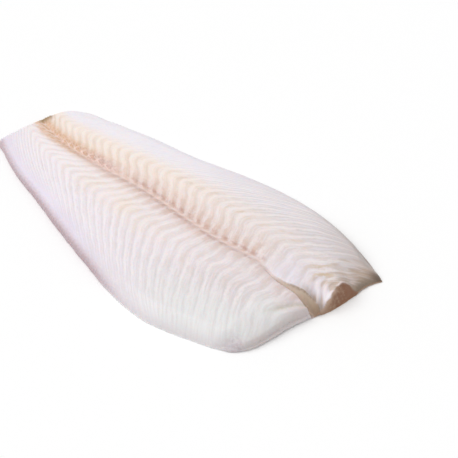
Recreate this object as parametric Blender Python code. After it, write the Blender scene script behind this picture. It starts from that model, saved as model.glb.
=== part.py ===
"""A raw sole fillet: both muscle lobes of one side of the fish, skinned and trimmed to one piece.

Metres, +Z up. The tail cut is at -X and the head cut at +X. The far lobe lies to +Y and the near
lobe to -Y of the centre line. The fillet lies on its flat side at Z = 0, with the middle of its
outline at the origin.
"""

import bmesh
import bpy
import numpy as np

# The outline in four stretches, clockwise from the near corner of the tail. X is measured from
# the tail end of the centre line, Y from that line's mean.
TAIL_CUT = ((-0.0085, -0.0300), (-0.0066, -0.0100), (-0.0045, 0.0090), (-0.0005, 0.0215))
FAR_EDGE = (
    (0.0075, 0.0285), (0.0280, 0.0342), (0.0600, 0.0420), (0.0980, 0.0485), (0.1350, 0.0580),
    (0.1650, 0.0630), (0.1950, 0.0635), (0.2220, 0.0590), (0.2430, 0.0523),
)
HEAD_CUT = (
    (0.2515, 0.0490), (0.2486, 0.0420), (0.2480, 0.0280), (0.2465, 0.0100), (0.2430, -0.0020),
    (0.2400, -0.0160), (0.2383, -0.0320), (0.2360, -0.0430),
)
NEAR_EDGE = (
    (-0.0070, -0.0320), (0.0030, -0.0357), (0.0240, -0.0430), (0.0570, -0.0505), (0.0880, -0.0580),
    (0.1200, -0.0646), (0.1500, -0.0702), (0.1720, -0.0712), (0.1880, -0.0687), (0.2050, -0.0630),
    (0.2210, -0.0570), (0.2310, -0.0510),
)
SHARP_CORNERS = (TAIL_CUT[0], HEAD_CUT[0])
CENTRE_LINE = (
    (-0.010, 0.003), (0.010, -0.002), (0.060, -0.005), (0.095, -0.002), (0.175, -0.001),
    (0.197, 0.002), (0.215, -0.001), (0.250, 0.000),
)
LOWER_EDGE_RADIUS = 0.0012
OUTLINE_STEPS = 7

# Thickness of the flesh along the fillet, and what is left of it at the trimmed edges. The rim is
# rounded over RIM_ROUNDING inside the outline and falls on for RIM_OVERRUN of that outside it.
THICKNESS = ((-0.010, 0.0050), (0.060, 0.0088), (0.130, 0.0116), (0.190, 0.0130), (0.250, 0.0122))
NEAR_RIM = (
    (-0.010, 0.0034), (0.060, 0.0044), (0.140, 0.0040), (0.190, 0.0024), (0.225, 0.0030),
    (0.238, 0.0040),
)
FAR_RIM = ((-0.010, 0.0030), (0.080, 0.0030), (0.180, 0.0028), (0.250, 0.0018))
RIM_ROUNDING = 0.0075
RIM_OVERRUN = 0.5
LOBE_DROOP = 0.34
LOBE_DROOP_POWER = 2.4
CENTRE_DIP = 0.05
CENTRE_DIP_HALF_WIDTH = 0.012
CREASE_DEPTH = 0.0007
CREASE_HALF_WIDTH = 0.0032
THINNEST = 0.0016

# The cleft between the lobes at the head end. The far wall of it is steep, the near one slopes.
CLEFT_LINE = ((0.200, -0.0002), (0.218, -0.0016), (0.230, -0.0004), (0.246, -0.0006))
CLEFT_DEPTH = ((0.200, 0.0000), (0.212, 0.0018), (0.222, 0.0040), (0.232, 0.0070), (0.246, 0.0098))
CLEFT_NEAR_WIDTH = ((0.200, 0.0018), (0.225, 0.0024), (0.246, 0.0042))
CLEFT_FAR_WIDTH = ((0.200, 0.0014), (0.222, 0.0020), (0.233, 0.0050), (0.246, 0.0062))

# The far lobe ends in a tongue beside the cleft, a scooped face and a thin outer tip. Each fall
# sets in by its power: 1 is a straight slope, and more is gentler at first.
TONGUE_TIP = (0.2450, 0.0052)
TONGUE_LENGTH = 0.0150
TONGUE_BREADTH = 0.0120
TONGUE_DROP = 0.0070
TONGUE_POWER = 1.4
TIP_BEGINS = 0.0220
TIP_BLEND = 0.0100
TIP_LENGTH = 0.0200
TIP_DROP = 0.0074
TIP_POWER = 1.5
SCOOP_CENTRE = (0.2538, 0.0165, 0.0090)
SCOOP_RADII = (0.0100, 0.0140, 0.0084)
SCOOP_SIDES = 20
SCOOP_RINGS = 12

# The near lobe rolls down to the head cut. A fall towards that cut runs on past it by a share of
# its length, so that the cut itself goes through an even slope.
HEAD_ROLL_LENGTH = 0.0150
HEAD_ROLL_DROP = 0.0052
HEAD_ROLL_POWER = 1.6
NEAR_LOBE_ENDS = -0.0020
PAST_CUT = 0.8

# The muscle segments, W-shaped bands between thin sheets of tissue. A sheet meets the centre line
# at its apex, runs back towards the tail as far as the flank, and then sweeps on to the edge.
# Places across the fillet are shares of its half width there, and OVERHANG is the last of them.
PITCH_AT_TAIL = 0.0070
PITCH_GROWTH = 0.0088
FIRST_SEGMENT = -9
FIRST_FINE_SEGMENT = 26
LAST_SEGMENT = 33
ROWS_PER_SEGMENT = 3
FINE_ROWS_PER_SEGMENT = 6
COLUMNS_PER_LOBE = 19
OVERHANG = 1.07
FAR_FLANK = (
    (0.000, 0.44), (0.080, 0.47), (0.170, 0.47), (0.195, 0.40), (0.215, 0.36), (0.250, 0.36),
)
NEAR_FLANK = (
    (0.000, 0.42), (0.090, 0.42), (0.120, 0.39), (0.150, 0.33), (0.185, 0.29), (0.250, 0.35),
)
FLANK_SOFTNESS = 0.035
FAR_SLIDE = (
    (0.000, 0.022), (0.060, 0.029), (0.100, 0.028), (0.130, 0.025), (0.155, 0.020),
    (0.180, 0.014), (0.205, 0.009), (0.240, 0.008),
)
NEAR_SLIDE = (
    (0.000, 0.014), (0.070, 0.016), (0.100, 0.016), (0.130, 0.013), (0.150, 0.009),
    (0.250, 0.006),
)
FAR_SWEEP = 0.024
FAR_SWEEP_END = 0.022
NEAR_SWEEP = ((0.000, 0.050), (0.080, 0.048), (0.150, 0.041), (0.180, 0.030), (0.240, 0.018))
RIDGE_HEIGHT = 0.00045
FAR_RIDGES_END = 0.66
NEAR_RIDGES_END = 0.80
RIDGES_FADE = 0.20

# The slab that the fillet is cut from reaches below the table, and the cutting outline above it.
SLAB_DEPTH = 0.006
OUTLINE_HEIGHT = 0.030
WELD_DISTANCE = 1e-6

FLESH_COLOUR = (0.86, 0.76, 0.72, 1.0)
FLESH_ROUGHNESS = 0.38


def through(place, stations):
    """A smooth curve through (place, value) stations, level beyond the first and the last."""
    places, values = np.array(stations).T
    slopes = np.gradient(values, places)
    slopes[0] = slopes[-1] = 0
    place = np.clip(place, places[0], places[-1])
    after = np.clip(np.searchsorted(places, place), 1, len(places) - 1)
    before = after - 1
    run = places[after] - places[before]
    u = (place - places[before]) / run
    from_values = values[before] * (2 * u**3 - 3 * u**2 + 1) + values[after] * (3 * u**2 - 2 * u**3)
    from_slopes = slopes[before] * (u**3 - 2 * u**2 + u) + slopes[after] * (u**3 - u**2)
    return from_values + run * from_slopes


def ramp(value, start, end):
    """0 up to start, 1 from end on, and smooth between them."""
    u = np.clip((value - start) / (end - start), 0, 1)
    return u * u * (3 - 2 * u)


def segment_apex(segment):
    """Where on the centre line a segment's apex lies, as the segments lengthen towards the head."""
    return PITCH_AT_TAIL / PITCH_GROWTH * (np.exp(PITCH_GROWTH * segment) - 1)


def sweep(apex, across):
    """How far along X a sheet lies from its apex, at a share of the half width (-1 near, 1 far)."""
    far = across > 0
    reach = np.abs(across)
    flank = np.where(far, through(apex, FAR_FLANK), through(apex, NEAR_FLANK))
    slide = np.where(far, through(apex, FAR_SLIDE), through(apex, NEAR_SLIDE))
    past_flank = FLANK_SOFTNESS * np.logaddexp(0, (reach - flank) / FLANK_SOFTNESS)
    outer = past_flank / (1 - flank)
    far_outward = FAR_SWEEP * outer + FAR_SWEEP_END * outer**3
    outward = np.where(far, far_outward, through(apex, NEAR_SWEEP) * outer)
    return outward - slide * (reach - past_flank) / flank


def half_width(x, across):
    """Y of the outline less Y of the centre line, on the lobe that the place belongs to."""
    edge = np.where(across > 0, through(x, FAR_EDGE), through(x, NEAR_EDGE))
    return edge - through(x, CENTRE_LINE)


def plan(segment, across):
    """X and Y of a place given by its segment and its share of the half width."""
    apex = segment_apex(segment)
    x = apex + sweep(apex, across)
    return x, through(x, CENTRE_LINE) + np.abs(across) * half_width(x, across)


def dome(x, y, across):
    """The two lobes, thickest beside the centre line, with the crease between them."""
    from_middle = np.abs(y - through(x, CENTRE_LINE))
    dip = CENTRE_DIP * np.exp(-((from_middle / CENTRE_DIP_HALF_WIDTH) ** 2))
    crease = CREASE_DEPTH * np.exp(-((from_middle / CREASE_HALF_WIDTH) ** 2))
    droop = LOBE_DROOP * np.abs(across) ** LOBE_DROOP_POWER
    return through(x, THICKNESS) * (1 - droop - dip) - crease


def cleft(x, y):
    """Depth of the cleft between the lobes."""
    offset = y - through(x, CLEFT_LINE)
    width = np.where(offset > 0, through(x, CLEFT_FAR_WIDTH), through(x, CLEFT_NEAR_WIDTH))
    return through(x, CLEFT_DEPTH) * (1 - ramp(np.abs(offset) / width, 0, 1))


def past_start(from_cut, length):
    """0 further than length from the head cut, 1 at the cut, and rising on beyond it."""
    return np.clip(1 - from_cut / length, 0, 1 + PAST_CUT)


def far_end(x, y, from_cut):
    """What the far lobe loses at its head end: the tongue at the cleft, and the thin outer tip."""
    before_tip = np.clip(TONGUE_TIP[0] - x, 0, None)
    reach = np.hypot(before_tip / TONGUE_LENGTH, (y - TONGUE_TIP[1]) / TONGUE_BREADTH)
    at_tongue = np.clip(1 - reach, 0, 1) ** TONGUE_POWER * ramp(y, 0, TONGUE_TIP[1])
    at_tip = past_start(from_cut, TIP_LENGTH) ** TIP_POWER * ramp(y, TIP_BEGINS, TIP_BEGINS + TIP_BLEND)
    return TONGUE_DROP * at_tongue + TIP_DROP * at_tip


def near_end(y, from_cut):
    """What the near lobe loses as it rolls down to the head cut."""
    on_near_lobe = 1 - ramp(y, NEAR_LOBE_ENDS, TONGUE_TIP[1])
    return HEAD_ROLL_DROP * past_start(from_cut, HEAD_ROLL_LENGTH) ** HEAD_ROLL_POWER * on_near_lobe


def ridges(segment, across, from_cut):
    """Relief of the muscle segments, level with the surface at the sheets between them."""
    swell = 0.5 - 0.5 * np.cos(2 * np.pi * segment)
    smooth_from = np.where(across > 0, FAR_RIDGES_END, NEAR_RIDGES_END)
    clear_of_edge = 1 - ramp(np.abs(across), smooth_from, smooth_from + RIDGES_FADE)
    clear_of_cut = ramp(from_cut, 0, HEAD_ROLL_LENGTH)
    return RIDGE_HEIGHT * swell * clear_of_edge * clear_of_cut


def surface(segment, across):
    """The upper surface at places given by segment and share of the half width."""
    x, y = plan(segment, across)
    head_places = sorted((place_y, place_x) for place_x, place_y in HEAD_CUT)
    from_cut = through(y, head_places) - x
    full = dome(x, y, across) - cleft(x, y) - far_end(x, y, from_cut) - near_end(y, from_cut)
    rim = np.where(across > 0, through(x, FAR_RIM), through(x, NEAR_RIM))
    rim = np.minimum(rim, full)
    inside = (1 - np.abs(across)) * np.abs(half_width(x, across))
    rounding = 1 - (1 - np.clip(inside / RIM_ROUNDING, -RIM_OVERRUN, 1)) ** 2
    z = rim + (full - rim) * rounding + ridges(segment, across, from_cut)
    return x, y, np.maximum(z, THINNEST)


def outline_curve():
    """The fillet's outline as a smooth closed curve, with two sharp corners."""
    curve = bpy.data.curves.new("outline", "CURVE")
    curve.dimensions = "2D"
    curve.fill_mode = "BOTH"
    curve.resolution_u = OUTLINE_STEPS
    spline = curve.splines.new("BEZIER")
    places = TAIL_CUT + FAR_EDGE + HEAD_CUT + NEAR_EDGE[::-1]
    spline.bezier_points.add(len(places) - 1)
    for point, (x, y) in zip(spline.bezier_points, places):
        kind = "VECTOR" if (x, y) in SHARP_CORNERS else "AUTO"
        point.co = (x, y, 0)
        point.handle_left_type = kind
        point.handle_right_type = kind
    spline.use_cyclic_u = True
    return bpy.data.objects.new("outline", curve)


def mesh_from_curve(curve_object, collection):
    """The same shape as a mesh object, closed where the caps meet the sides."""
    collection.objects.link(curve_object)
    graph = bpy.context.evaluated_depsgraph_get()
    mesh = bpy.data.meshes.new_from_object(curve_object.evaluated_get(graph))
    body = bmesh.new()
    body.from_mesh(mesh)
    bmesh.ops.remove_doubles(body, verts=body.verts, dist=WELD_DISTANCE)
    bmesh.ops.recalc_face_normals(body, faces=body.faces)
    body.to_mesh(mesh)
    body.free()
    name = curve_object.name
    bpy.data.objects.remove(curve_object)
    made = bpy.data.objects.new(name, mesh)
    collection.objects.link(made)
    return made


def make_outline_block(collection):
    """The outline as a tall block whose lower edge is rounded."""
    curve_object = outline_curve()
    curve_object.data.extrude = OUTLINE_HEIGHT / 2 - LOWER_EDGE_RADIUS
    curve_object.data.bevel_depth = LOWER_EDGE_RADIUS
    curve_object.data.bevel_resolution = 1
    curve_object.data.offset = -LOWER_EDGE_RADIUS
    block = mesh_from_curve(curve_object, collection)
    block.location.z = OUTLINE_HEIGHT / 2
    return block


def make_scoop(collection):
    """The hollow in the far lobe's cut face."""
    mesh = bpy.data.meshes.new("scoop")
    body = bmesh.new()
    bmesh.ops.create_uvsphere(body, u_segments=SCOOP_SIDES, v_segments=SCOOP_RINGS, radius=1)
    bmesh.ops.scale(body, vec=SCOOP_RADII, verts=body.verts)
    body.to_mesh(mesh)
    body.free()
    scoop = bpy.data.objects.new("scoop", mesh)
    scoop.location = SCOOP_CENTRE
    collection.objects.link(scoop)
    return scoop


def make_slab(collection):
    """The flesh before it is cut to the outline: a grid whose rows follow the muscle segments."""
    coarse = np.arange(FIRST_SEGMENT, FIRST_FINE_SEGMENT, 1 / ROWS_PER_SEGMENT)
    fine = np.arange(FIRST_FINE_SEGMENT, LAST_SEGMENT, 1 / FINE_ROWS_PER_SEGMENT)
    rows = np.concatenate([coarse, fine])
    body = bmesh.new()
    bmesh.ops.create_grid(body, x_segments=len(rows) - 1, y_segments=2 * COLUMNS_PER_LOBE, size=1)
    grid = np.array([vert.co[:2] for vert in body.verts])
    segment = rows[np.rint((grid[:, 0] + 1) / 2 * (len(rows) - 1)).astype(int)]
    across = np.sign(grid[:, 1]) * (1 - np.cos(np.pi * np.abs(grid[:, 1]))) / 2 * OVERHANG
    for vert, place in zip(body.verts, np.stack(surface(segment, across), axis=-1)):
        vert.co = place
    lower = bmesh.ops.extrude_face_region(body, geom=body.faces[:])["geom"]
    for item in lower:
        if isinstance(item, bmesh.types.BMVert):
            item.co.z = -SLAB_DEPTH
    bmesh.ops.recalc_face_normals(body, faces=body.faces)
    mesh = bpy.data.meshes.new("fillet")
    body.to_mesh(mesh)
    body.free()
    fillet = bpy.data.objects.new("fillet", mesh)
    collection.objects.link(fillet)
    return fillet


def cut(target, cutter, operation):
    """A live Boolean, with its cutter kept as a hidden guide."""
    modifier = target.modifiers.new(cutter.name, "BOOLEAN")
    modifier.operation = operation
    modifier.solver = "EXACT"
    modifier.object = cutter
    cutter.hide_render = True
    cutter.display_type = "WIRE"


def flesh_material():
    """Wet raw flesh."""
    material = bpy.data.materials.new("raw_flesh")
    material.use_nodes = True
    shader = material.node_tree.nodes["Principled BSDF"]
    shader.inputs["Base Color"].default_value = FLESH_COLOUR
    shader.inputs["Roughness"].default_value = FLESH_ROUGHNESS
    shader.inputs["Metallic"].default_value = 0.0
    return material


def build():
    for old in list(bpy.data.objects):
        bpy.data.objects.remove(old, do_unlink=True)
    food = bpy.data.collections.new("sole_fillet")
    cutters = bpy.data.collections.new("cutters")
    for collection in (food, cutters):
        bpy.context.scene.collection.children.link(collection)

    fillet = make_slab(food)
    block = make_outline_block(cutters)
    cut(fillet, block, "INTERSECT")
    cut(fillet, make_scoop(cutters), "DIFFERENCE")

    corners = np.array(block.bound_box)
    middle = (corners.min(axis=0) + corners.max(axis=0)) / 2
    for item in (fillet, *cutters.objects):
        item.location.x -= middle[0]
        item.location.y -= middle[1]

    fillet.data.materials.append(flesh_material())
    fillet.data.shade_smooth()


build()
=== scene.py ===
# %% [markdown]
# # A raw sole fillet
#
# This lesson builds a double fillet of sole: the two long muscle lobes from one side of a flatfish,
# skinned and trimmed, lying on a table. The flesh is pale and wet. Fine bands cross it in a W, darker
# muscle shows along its middle, and a cleft parts the lobes at the head end.
#
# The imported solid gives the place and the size. It is loaded first and never changed.

from math import pi, radians

import bpy
import numpy as np
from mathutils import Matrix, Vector, noise


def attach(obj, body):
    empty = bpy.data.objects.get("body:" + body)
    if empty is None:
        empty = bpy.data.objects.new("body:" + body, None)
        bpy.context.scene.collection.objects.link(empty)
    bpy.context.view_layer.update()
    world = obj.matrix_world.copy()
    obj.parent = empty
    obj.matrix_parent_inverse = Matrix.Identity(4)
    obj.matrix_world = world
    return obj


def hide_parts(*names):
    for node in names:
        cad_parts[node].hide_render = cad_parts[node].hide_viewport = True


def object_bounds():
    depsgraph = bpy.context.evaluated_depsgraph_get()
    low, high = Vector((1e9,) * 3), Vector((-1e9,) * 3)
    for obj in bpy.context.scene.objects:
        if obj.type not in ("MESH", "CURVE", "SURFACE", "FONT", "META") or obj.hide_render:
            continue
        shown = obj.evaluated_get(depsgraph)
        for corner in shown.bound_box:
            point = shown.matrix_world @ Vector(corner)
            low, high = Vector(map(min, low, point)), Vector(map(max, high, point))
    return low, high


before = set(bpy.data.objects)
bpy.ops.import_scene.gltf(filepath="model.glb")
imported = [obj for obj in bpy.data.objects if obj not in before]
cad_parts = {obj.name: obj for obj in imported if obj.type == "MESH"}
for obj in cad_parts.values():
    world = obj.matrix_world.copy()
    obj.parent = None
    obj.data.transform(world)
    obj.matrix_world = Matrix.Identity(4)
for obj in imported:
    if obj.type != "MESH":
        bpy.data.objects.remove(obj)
cad_box = [list(corner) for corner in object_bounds()]
print("CAD box in metres:", cad_box)

# %% [markdown]
# ## The camera
#
# A camera could be framed by eye. Here it was worked out once from the outline of the fillet in the
# picture, so it is simply put in its place and turned to what it looks at. Its long lens keeps the far
# end of the fillet nearly as wide as it really is.

# %% The camera
EYE = Vector((0.4537, -0.3874, 0.5268))
AIM = Vector((0.0391, 0.0175, 0.0050))
VIEW_ANGLE = radians(20)

toward_fillet = (AIM - EYE).to_track_quat("-Z", "Y").to_euler()
bpy.ops.object.camera_add(location=EYE, rotation=toward_fillet)
camera = bpy.context.object
camera.name = "camera"
camera.data.angle = VIEW_ANGLE
bpy.context.scene.camera = camera
print("The camera stands", round((EYE - AIM).length, 3), "m away")

# %% [markdown]
# ## The outline
#
# The knife leaves four edges: a short cut at the tail, a wide one at the head, and two long trimmed
# sides. A smooth closed Bezier curve follows all four. Two of its corners are sharp, where a knife
# met a cut. The lengths here are in millimetres, X from the tail end of the centre line, Y across.

# %% The outline as a curve
MM = 0.001
TAIL_CUT = [(-8.5, -30.0), (-6.6, -10.0), (-4.5, 9.0), (-0.5, 21.5)]
FAR_EDGE = [
    (7.5, 28.5), (28.0, 34.2), (60.0, 42.0), (98.0, 48.5), (135.0, 58.0),
    (165.0, 63.0), (195.0, 63.5), (222.0, 59.0), (243.0, 52.3),
]
HEAD_CUT = [
    (251.5, 49.0), (248.6, 42.0), (248.0, 28.0), (246.5, 10.0), (243.0, -2.0),
    (240.0, -16.0), (238.3, -32.0), (236.0, -43.0),
]
NEAR_EDGE = [
    (-7.0, -32.0), (3.0, -35.7), (24.0, -43.0), (57.0, -50.5), (88.0, -58.0),
    (120.0, -64.6), (150.0, -70.2), (172.0, -71.2), (188.0, -68.7), (205.0, -63.0),
    (221.0, -57.0), (231.0, -51.0),
]
SHARP_CORNERS = (TAIL_CUT[0], HEAD_CUT[0])
CURVE_STEPS = 24

bpy.ops.object.select_all(action="DESELECT")
bpy.ops.curve.primitive_bezier_curve_add(location=(0, 0, 0))
outline = bpy.context.object
outline.data.splines.clear()
outline.data.resolution_u = CURVE_STEPS
spline = outline.data.splines.new("BEZIER")
knots = TAIL_CUT + FAR_EDGE + HEAD_CUT + NEAR_EDGE[::-1]
spline.bezier_points.add(len(knots) - 1)
for point, knot in zip(spline.bezier_points, knots):
    kind = "VECTOR" if knot in SHARP_CORNERS else "AUTO"
    point.co = (*knot, 0)
    point.handle_left_type = kind
    point.handle_right_type = kind
spline.use_cyclic_u = True
bpy.ops.object.convert(target="MESH")
edge_line = np.array([vertex.co[:2] for vertex in bpy.context.object.data.vertices])
bpy.ops.object.delete()
middle_of_box = (edge_line.min(axis=0) + edge_line.max(axis=0)) / 2
print("The outline has", len(edge_line), "points around", np.round(middle_of_box, 2))

# %% [markdown]
# ## A net over the two lobes
#
# The flesh could be one flat face with a fine remesh, but then its points would lie anywhere. A grid
# is better: its rows run across the fillet and its middle column is the centre line, so the cleft and
# the dark line fall on real edges. Each lobe is stretched between the centre line, its own side and
# the two cuts. The rows lie closer at the head, where the small forms are.

# %% Splitting the outline at its corners
CENTRE_LINE = [
    (-10, 3.0), (10, -2.0), (60, -5.0), (95, -2.0), (175, -1.0), (197, 2.0), (215, -1.0), (250, 0.0),
]
NEAR_HEAD_CORNER = (234.5, -47.5)
FAR_TAIL_CORNER = (3.0, 25.5)


def through(place, stations):
    """A smooth curve through (place, value) stations, level beyond the first and the last."""
    places, values = np.array(stations, float).T
    slopes = np.gradient(values, places)
    slopes[0] = slopes[-1] = 0
    place = np.clip(place, places[0], places[-1])
    after = np.clip(np.searchsorted(places, place), 1, len(places) - 1)
    before = after - 1
    run = places[after] - places[before]
    u = (place - places[before]) / run
    from_values = values[before] * (2 * u**3 - 3 * u**2 + 1) + values[after] * (3 * u**2 - 2 * u**3)
    from_slopes = slopes[before] * (u**3 - 2 * u**2 + u) + slopes[after] * (u**3 - u**2)
    return from_values + run * from_slopes


def nearest(place):
    """Index of the outline's point that is nearest to a place."""
    return int(np.hypot(*(edge_line - place).T).argmin())


def stretch(start, end):
    """The outline's points from one index on to another, round the closed line."""
    line = np.roll(edge_line, -start, axis=0)
    return line[: (end - start) % len(line) + 1]


tail_near = nearest(TAIL_CUT[0])
tail_far = nearest(FAR_TAIL_CORNER)
head_far = nearest(HEAD_CUT[0])
head_near = nearest(NEAR_HEAD_CORNER)
tail_side = stretch(tail_near, tail_far)
far_side = stretch(tail_far, head_far)
head_side = stretch(head_far, head_near)[::-1]
near_side = stretch(head_near, tail_near)[::-1]
print("Points on the tail, far, head and near side:",
      len(tail_side), len(far_side), len(head_side), len(near_side))

# %% Spacing the rows and columns
ROWS = 370
NEAR_COLUMNS = 112
FAR_COLUMNS = 100
ROW_CROWDING = [(0.0, 1.6), (0.03, 1.0), (0.75, 1.0), (0.85, 1.6), (0.97, 2.2), (1.0, 3.2)]
COLUMN_CROWDING = [(0.0, 2.6), (0.10, 1.7), (0.25, 1.0), (0.85, 1.0), (1.0, 1.8)]
FINE_STEPS = 4000


def spread(steps, crowding):
    """Shares from 0 to 1 in so many steps, closer together where the crowding is higher."""
    fine = np.linspace(0, 1, FINE_STEPS + 1)
    crowd = np.interp(fine, *np.array(crowding).T)
    total = np.concatenate([[0], np.cumsum(crowd[1:] + crowd[:-1])])
    return np.interp(np.linspace(0, total[-1], steps + 1), total, fine)


row_shares = spread(ROWS, ROW_CROWDING)
print("The widest and the narrowest gap between rows differ by a factor of",
      (np.diff(row_shares).max() / np.diff(row_shares).min()).round(1))

# %% The net's places
SPINE_POINTS = 400


def along_line(line, shares):
    """Places at shares of a line's length."""
    length = np.concatenate([[0], np.cumsum(np.hypot(*np.diff(line, axis=0).T))])
    return np.stack([np.interp(shares * length[-1], length, line[:, i]) for i in (0, 1)], axis=-1)


def lobe_net(inner, outer, tail, head, row_shares, column_shares):
    """Places stretched between four lines: inner and outer run headward, tail and head outward."""
    u = row_shares[:, None, None]
    v = column_shares[None, :, None]
    inner, outer = (along_line(line, row_shares)[:, None] for line in (inner, outer))
    tail, head = (along_line(line, column_shares)[None] for line in (tail, head))
    between = (1 - v) * inner + v * outer + (1 - u) * tail + u * head
    corners = (1 - u) * ((1 - v) * tail[:, :1] + v * tail[:, -1:])
    corners = corners + u * ((1 - v) * head[:, :1] + v * head[:, -1:])
    return between - corners


def crossing(line):
    """Index on an end line where it meets the centre line."""
    return int(np.abs(line[:, 1] - through(line[:, 0], CENTRE_LINE)).argmin())


tail_middle = crossing(tail_side)
head_middle = crossing(head_side)
spine_x = np.linspace(tail_side[tail_middle, 0], head_side[head_middle, 0], SPINE_POINTS)
spine = np.stack([spine_x, through(spine_x, CENTRE_LINE)], axis=-1)
spine[0] = tail_side[tail_middle]
spine[-1] = head_side[head_middle]
near_net = lobe_net(spine, near_side, tail_side[tail_middle::-1], head_side[head_middle::-1],
                    row_shares, spread(NEAR_COLUMNS, COLUMN_CROWDING))
far_net = lobe_net(spine, far_side, tail_side[tail_middle:], head_side[head_middle:],
                   row_shares, spread(FAR_COLUMNS, COLUMN_CROWDING))
net = np.concatenate([near_net[:, ::-1], far_net[:, 1:]], axis=1)
print("The net has", net.shape[0], "rows of", net.shape[1], "places")

# %% The grid laid on the net
COLUMNS = NEAR_COLUMNS + FAR_COLUMNS

bpy.ops.mesh.primitive_grid_add(x_subdivisions=ROWS, y_subdivisions=COLUMNS, size=2)
fillet = bpy.context.object
fillet.name = "sole_fillet"
fillet.data.name = "sole_fillet"
grid_places = np.zeros(len(fillet.data.vertices) * 3)
fillet.data.vertices.foreach_get("co", grid_places)
grid_places = grid_places.reshape(-1, 3)
row = np.rint((grid_places[:, 0] + 1) / 2 * ROWS).astype(int)
column = np.rint((grid_places[:, 1] + 1) / 2 * COLUMNS).astype(int)
x, y = net[row, column].T
print("The grid has", len(x), "points and", len(fillet.data.polygons), "faces")

# %% [markdown]
# ## Where each point lies in the flesh
#
# A flatfish's muscle is a row of W-shaped segments, stacked along the spine between thin white sheets.
# Everything on the fillet follows them: the relief, the tan bands, the fibres. So each point gets the
# number of its segment. A sheet meets the centre line at its apex, slides back towards the tail as far
# as the flank, and then sweeps on to the edge. That rule gives a sheet's place from its number. The
# number from a place has no formula, so it is found by guessing and correcting a few times.

# %% The way of a sheet, from its apex to the edge
FLANK_SOFTNESS = 0.035
FAR_FLANK = [(0, 0.42), (60, 0.45), (140, 0.45), (170, 0.41), (200, 0.32), (240, 0.28)]
NEAR_FLANK = [(0, 0.31), (50, 0.37), (100, 0.40), (140, 0.32), (170, 0.27), (200, 0.37), (240, 0.39)]
FAR_SLIDE = [(0, 23), (100, 27), (140, 25), (170, 20), (200, 11), (240, 10)]
NEAR_SLIDE = [(0, 28), (50, 24), (100, 16), (140, 10), (170, 5), (200, 3), (240, 5)]
FAR_SWEEP = [(0, 18), (50, 21), (100, 27), (140, 41), (170, 38), (200, 28), (240, 17)]
NEAR_SWEEP = [(0, 66), (50, 53), (100, 44), (140, 38), (200, 30), (240, 18)]
FAR_CURL = [(0, 50), (140, 50), (170, 42), (200, 22), (240, 11)]
NEAR_CURL = [(0, 28), (50, 21), (100, 19), (140, 12), (170, 0), (240, -4)]


def ramp(value, start, end):
    """0 up to start, 1 from end on, and smooth between them."""
    u = np.clip((value - start) / (end - start), 0, 1)
    return u * u * (3 - 2 * u)


def sheet_shift(apex, across):
    """How far along X a sheet lies from its apex, at a share of the half width."""
    far = across > 0
    flank, slide, swept, curl = (
        np.where(far, through(apex, on_far), through(apex, on_near))
        for on_far, on_near in ((FAR_FLANK, NEAR_FLANK), (FAR_SLIDE, NEAR_SLIDE),
                                (FAR_SWEEP, NEAR_SWEEP), (FAR_CURL, NEAR_CURL))
    )
    reach = np.abs(across)
    past_flank = FLANK_SOFTNESS * np.logaddexp(0, (reach - flank) / FLANK_SOFTNESS)
    outer = past_flank / (1 - flank)
    return swept * outer + curl * outer**3 - slide * (reach - past_flank) / flank


print("A sheet from the middle meets the sides at", sheet_shift(100.0, np.array([-1.0, 1.0])).round(1),
      "mm from its apex")

# %% Shares across the fillet, and the number of the segment
PITCH_AT_TAIL = 7.0
PITCH_GROWTH = 0.0088
GUESSES = 30
LEAST_GROWTH = 1e-3


def segment_at(place_x, across):
    """The number of the segment at a place, found by correcting a guess at its apex."""
    apex = np.array(place_x, float)
    for _ in range(GUESSES):
        apex = (apex + place_x - sheet_shift(apex, across)) / 2
    return np.log(np.maximum(1 + apex * PITCH_GROWTH / PITCH_AT_TAIL, LEAST_GROWTH)) / PITCH_GROWTH


def across_fillet(place_x, place_y):
    """Distance from the centre line, width of the lobe there, and the share of it (-1 near, 1 far)."""
    middle = place_y - through(place_x, CENTRE_LINE)
    side = np.where(middle > 0, through(place_x, FAR_EDGE), through(place_x, NEAR_EDGE))
    width = np.abs(side - through(place_x, CENTRE_LINE))
    return middle, width, np.clip(middle / width, -1, 1)


from_middle, lobe_width, across = across_fillet(x, y)
segment = segment_at(x, across)
head_places = sorted((place_y, place_x) for place_x, place_y in HEAD_CUT)
from_cut = through(y, head_places) - x
print("Segments run from", segment.min().round(1), "to", segment.max().round(1))

# %% [markdown]
# ## The thickness of the flesh
#
# Cut fish slumps under its own weight: each lobe is a low dome, thickest beside the centre line, and it
# rounds off into a thin trimmed rim. At the head end the lobes part in a cleft. One could sculpt all
# that. Heights worked out from a few stations are easier to mend: a wrong number can be found and
# changed.

# %% Domes, rims and the crease between the lobes
THICKNESS = [(-10, 5.0), (60, 8.8), (130, 11.6), (190, 13.0), (250, 12.2)]
NEAR_RIM = [(-10, 3.4), (60, 4.4), (140, 4.0), (190, 2.4), (225, 2.6), (238, 3.2)]
FAR_RIM = [(-10, 3.0), (80, 3.0), (180, 2.8), (250, 1.8)]
NEAR_ROUNDING = 10.0
FAR_ROUNDING = 7.5
LOBE_DROOP = 0.34
LOBE_DROOP_POWER = 2.4
CENTRE_DIP = 0.05
CENTRE_DIP_HALF_WIDTH = 12.0
CREASE_DEPTH = 0.6
CREASE_HALF_WIDTH = 2.2


def bump(value, half_width):
    """1 where the value is 0, falling off smoothly to both sides."""
    return np.exp(-((value / half_width) ** 2))


droop = LOBE_DROOP * np.abs(across) ** LOBE_DROOP_POWER
dip = CENTRE_DIP * bump(from_middle, CENTRE_DIP_HALF_WIDTH)
full = through(x, THICKNESS) * (1 - droop - dip) - CREASE_DEPTH * bump(from_middle, CREASE_HALF_WIDTH)
print("The flesh is up to", full.max().round(1), "mm thick")

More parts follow.
